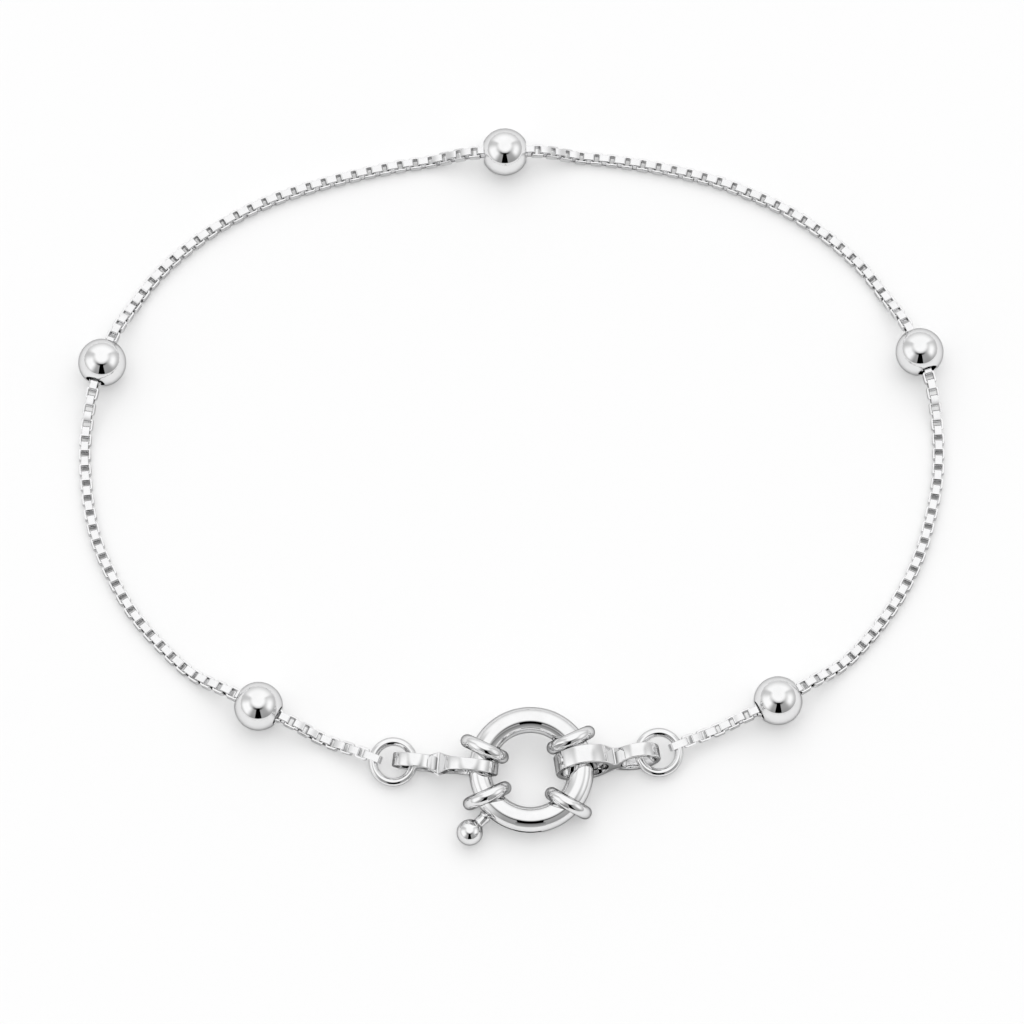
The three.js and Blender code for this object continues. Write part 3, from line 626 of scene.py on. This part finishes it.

# The pale table that the bracelet is laid on: smooth matt paper. To the camera it also glows a little,
# painted light that keeps the shadows on it soft and pale, and the silver mirrors it without that glow, a
# little greyer than it looks: painted shade in the reflections.
half_table = 3
table = bpy.data.meshes.new("table_top")
table_corners = [(x * half_table, y * half_table, 0) for x, y in ((-1, -1), (1, -1), (1, 1), (-1, 1))]
table.from_pydata(table_corners, [], [(0, 1, 2, 3)])
paper = bpy.data.materials.new("white_paper_painted_glow")
paper.use_nodes = True
nodes, links = paper.node_tree.nodes, paper.node_tree.links
sheet = nodes["Principled BSDF"]
sheet.inputs["Roughness"].default_value = 1.0
sheet.inputs["Specular IOR Level"].default_value = 0.0
sheet.inputs["Emission Strength"].default_value = 1.0
looked_at = nodes.new("ShaderNodeLightPath").outputs["Is Camera Ray"]
# By ray: to the camera a lower base colour plus a 0.34 glow, painted light that lifts the shadows; to the
# silver's mirror no glow, so it reflects greyer, painted shade.
for socket, painted_mirror_tone, painted_camera_tone in (("Base Color", 0.67, 0.51), ("Emission Color", 0.0, 0.34)):
    tone = nodes.new("ShaderNodeMix")
    tone.data_type = "RGBA"
    links.new(looked_at, tone.inputs[0])
    tone.inputs[6].default_value = (painted_mirror_tone, painted_mirror_tone, painted_mirror_tone, 1)
    tone.inputs[7].default_value = (painted_camera_tone, painted_camera_tone, painted_camera_tone, 1)
    links.new(tone.outputs[2], sheet.inputs[socket])
table.materials.append(paper)
table_top = bpy.data.objects.new("table_top", table)
bpy.context.scene.collection.objects.link(table_top)

# Soft studio light, as the polished silver mirrors it: a round lamp just behind overhead,
# a wide soft box behind, one at each side, grey walls between them and in front, where a
# narrow dark gap is left, and a low white card. Angles are in degrees.
studio = bpy.data.worlds.new("soft_studio")
bpy.context.scene.world = studio
studio.use_nodes = True
nodes, links = studio.node_tree.nodes, studio.node_tree.links
toward = nodes.new("ShaderNodeTexCoord").outputs["Generated"]


def worked(kind, *values):
    """One sum on the light's values."""
    node = nodes.new("ShaderNodeMath")
    node.operation = kind
    for socket, value in zip(node.inputs, values):
        if isinstance(value, (int, float)):
            socket.default_value = value
        else:
            links.new(value, socket)
    return node.outputs["Value"]


def eased(value, start, end, low=0.0, high=1.0):
    """Low before start, high past end, and soft between."""
    node = nodes.new("ShaderNodeMapRange")
    node.interpolation_type = "SMOOTHSTEP"
    links.new(value, node.inputs["Value"])
    for name, setting in (("From Min", start), ("From Max", end), ("To Min", low), ("To Max", high)):
        node.inputs[name].default_value = setting
    return node.outputs["Result"]


def between(value, rise_from, rise_to, fall_from, fall_to):
    """1 between two soft edges and 0 outside them."""
    return worked("MULTIPLY", eased(value, rise_from, rise_to), eased(value, fall_to, fall_from))


def toned(light, tone, share):
    """The light, turned to another tone where share is 1."""
    return worked("ADD", light, worked("MULTIPLY", worked("SUBTRACT", tone, light), share))


lamp_from = (0, 0.156, 0.988)  # 9 degrees behind overhead
gap_slant, gap_blur = 0.25, 0.006
card_slant, card_blur = 0.17, 0.012
split = nodes.new("ShaderNodeSeparateXYZ")
links.new(toward, split.inputs["Vector"])
sideways, away, height = split.outputs
degrees = 180 / math.pi
rise = worked("MULTIPLY", worked("ARCSINE", height), degrees)
round_left_right = worked("MULTIPLY", worked("ARCTAN2", sideways, worked("MULTIPLY", away, -1)), degrees)
round_either_way = worked("ABSOLUTE", round_left_right)
lamp_facing = nodes.new("ShaderNodeVectorMath")
lamp_facing.operation = "DOT_PRODUCT"
links.new(toward, lamp_facing.inputs[0])
lamp_facing.inputs[1].default_value = lamp_from
from_lamp = worked("MULTIPLY", worked("ARCCOSINE", lamp_facing.outputs["Value"]), degrees)

walls = worked("ADD", eased(round_either_way, 30, 105, 0.34, 0.60), eased(rise, 10, 40, -0.03, 0.03))
behind = eased(rise, -6, 38, 0.62, 1.02)
light = toned(walls, behind, eased(round_either_way, 122, 138))
left_box = worked("MULTIPLY", between(round_left_right, -118, -88, -60, -28), between(rise, -2, 20, 40, 62))
light = toned(light, 1.03, left_box)
right_box = worked("MULTIPLY", between(round_left_right, 46, 76, 92, 132), between(rise, 6, 32, 36, 60))
light = toned(light, 1.03, right_box)
light = toned(light, 1.02, eased(from_lamp, 43, 22))
in_front = eased(away, 0.02, -0.02)
accent = worked("MULTIPLY", between(rise, 50, 56, 60, 63), eased(round_either_way, 66, 14))
light = toned(light, 0.02, worked("MULTIPLY", accent, worked("MULTIPLY", in_front, 0.9)))
off_gap = worked("ADD", worked("ABSOLUTE", sideways), worked("MULTIPLY", away, gap_slant))
gap = worked("MULTIPLY", eased(off_gap, gap_blur, -gap_blur), between(rise, 10.5, 11.5, 60.5, 63.5))
light = toned(light, 0.0, gap)
off_card = worked("ADD", height, worked("MULTIPLY", away, card_slant))
below_card_top = eased(off_card, card_blur, -card_blur)
light = toned(light, 0.78, worked("MULTIPLY", below_card_top, in_front))
mirrored = nodes["Background"]
links.new(light, mirrored.inputs["Strength"])
mirrored.inputs["Color"].default_value = (1, 1, 1, 1)
backdrop = nodes.new("ShaderNodeBackground")
backdrop.inputs["Color"].default_value = (0.97, 0.97, 0.97, 1)
on_table = nodes.new("ShaderNodeBackground")
on_table.inputs["Color"].default_value = (1, 1, 1, 1)
links.new(worked("MULTIPLY", light, eased(from_lamp, 60, 22, 0.78, 2.75)), on_table.inputs["Strength"])
ray = nodes.new("ShaderNodeLightPath")
spread_light = nodes.new("ShaderNodeMixShader")
links.new(ray.outputs["Is Diffuse Ray"], spread_light.inputs["Fac"])
links.new(mirrored.outputs["Background"], spread_light.inputs[1])
links.new(on_table.outputs["Background"], spread_light.inputs[2])
seen = nodes.new("ShaderNodeMixShader")
links.new(ray.outputs["Is Camera Ray"], seen.inputs["Fac"])
links.new(spread_light.outputs["Shader"], seen.inputs[1])
links.new(backdrop.outputs["Background"], seen.inputs[2])
links.new(seen.outputs["Shader"], nodes["World Output"].inputs["Surface"])
bpy.context.scene.view_settings.view_transform = "Standard"

# Two small grey cards in front of the clasp's ring, for its mirror image only: they keep
# the low part of the dark gap off the round tube, near side and far side.
card_grey = bpy.data.materials.new("card_grey")
card_grey.use_nodes = True
nodes, links = card_grey.node_tree.nodes, card_grey.node_tree.links
nodes.remove(nodes["Principled BSDF"])
up_the_card = nodes.new("ShaderNodeSeparateXYZ")
links.new(nodes.new("ShaderNodeTexCoord").outputs["Generated"], up_the_card.inputs["Vector"])
shade = nodes.new("ShaderNodeMapRange")
shade.inputs["To Min"].default_value, shade.inputs["To Max"].default_value = 0.42, 0.16
links.new(up_the_card.outputs["Z"], shade.inputs["Value"])
glow = nodes.new("ShaderNodeEmission")
links.new(shade.outputs["Result"], glow.inputs["Strength"])
one_side = nodes.new("ShaderNodeMixShader")
links.new(nodes.new("ShaderNodeNewGeometry").outputs["Backfacing"], one_side.inputs["Fac"])
links.new(glow.outputs["Emission"], one_side.inputs[1])
links.new(nodes.new("ShaderNodeBsdfTransparent").outputs["BSDF"], one_side.inputs[2])
links.new(one_side.outputs["Shader"], nodes["Material Output"].inputs["Surface"])
card_grey.cycles.emission_sampling = "NONE"
half_card = 1.9
for name, y, low, high in (("near_card", -32.2, 2.5, 4.35), ("far_card", -24.5, 4.0, 6.0)):
    shape = bpy.data.meshes.new(name)
    left_x, right_x = -half_card + clasp_centre.x, half_card + clasp_centre.x
    card_corners = [(left_x, low), (left_x, high), (right_x, high), (right_x, low)]
    shape.from_pydata([(x * mm, y * mm, z * mm) for x, z in card_corners], [], [(0, 1, 2, 3)])
    shape.materials.append(card_grey)
    card = bpy.data.objects.new(name, shape)
    bpy.context.scene.collection.objects.link(card)
    card.visible_camera = card.visible_diffuse = card.visible_shadow = card.visible_transmission = False

# Camera: a long lens from 70 degrees above the table, square on to the clasp's side, aimed
# near the middle of the loop.
camera = bpy.data.cameras.new("camera")
camera.sensor_width = 36
focal_length_px, picture_width_px = 6300, 1024
camera.lens = focal_length_px / picture_width_px * camera.sensor_width
camera.clip_start = 0.01
view_point = bpy.data.objects.new("camera", camera)
bpy.context.scene.collection.objects.link(view_point)
pitch, camera_distance = math.radians(70), 0.522
aimed_at = Vector((0.0825, -2.156, 0.005)) * mm
view_point.location = aimed_at + Vector((0, -math.cos(pitch), math.sin(pitch))) * camera_distance
view_point.rotation_euler = (math.pi / 2 - pitch, 0, 0)
bpy.context.scene.camera = view_point
